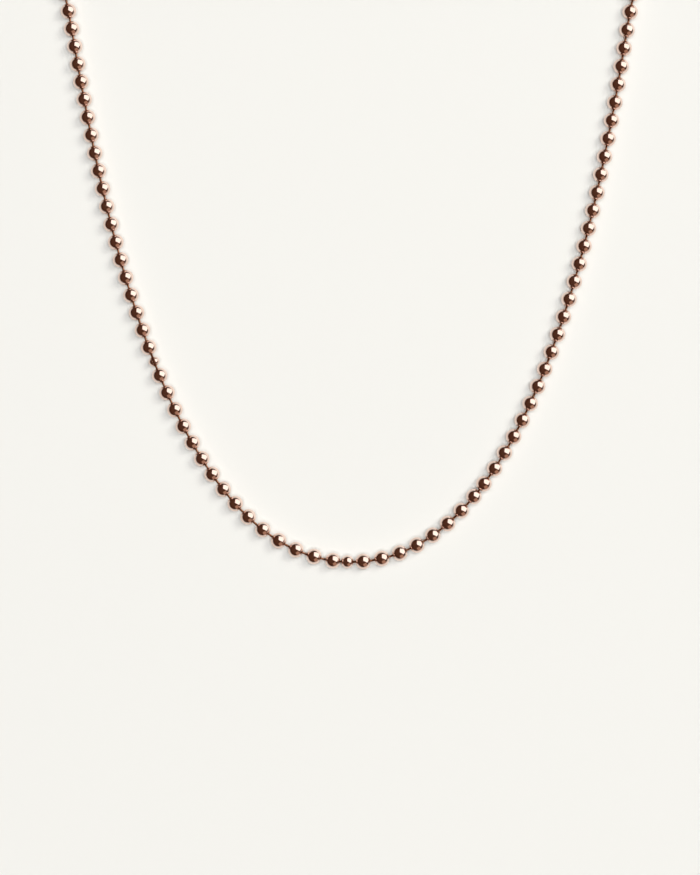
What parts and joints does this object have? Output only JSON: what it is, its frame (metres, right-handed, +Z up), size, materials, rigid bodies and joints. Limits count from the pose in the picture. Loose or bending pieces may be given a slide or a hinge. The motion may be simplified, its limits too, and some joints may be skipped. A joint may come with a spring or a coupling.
{
  "type": "ball chain necklace",
  "caption": "Ball chain necklace of hollow balls joined by short wire links, laid flat in an open loop and closed at the back by a sleeve clasp.",
  "frame": {"origin": "on the surface that the necklace lies on, below the middle of the loop's outline", "axes": "+Z up from the surface, +Y from the front of the loop to the clasp, +X to the right when the front is nearest"},
  "size_m": [0.1197, 0.1696, 0.0041],
  "materials": {
    "rose_gold": "mirror polished rose gold plate",
    "rose_gold_wire": "drawn wire in rose gold plate, darker and less glossy than the balls"
  },
  "bodies": {
    "root": {"balls": "rose_gold", "links": "rose_gold_wire", "side_bead": "rose_gold", "front_bead": "rose_gold", "clasp": "rose_gold"}
  },
  "joints": []
}
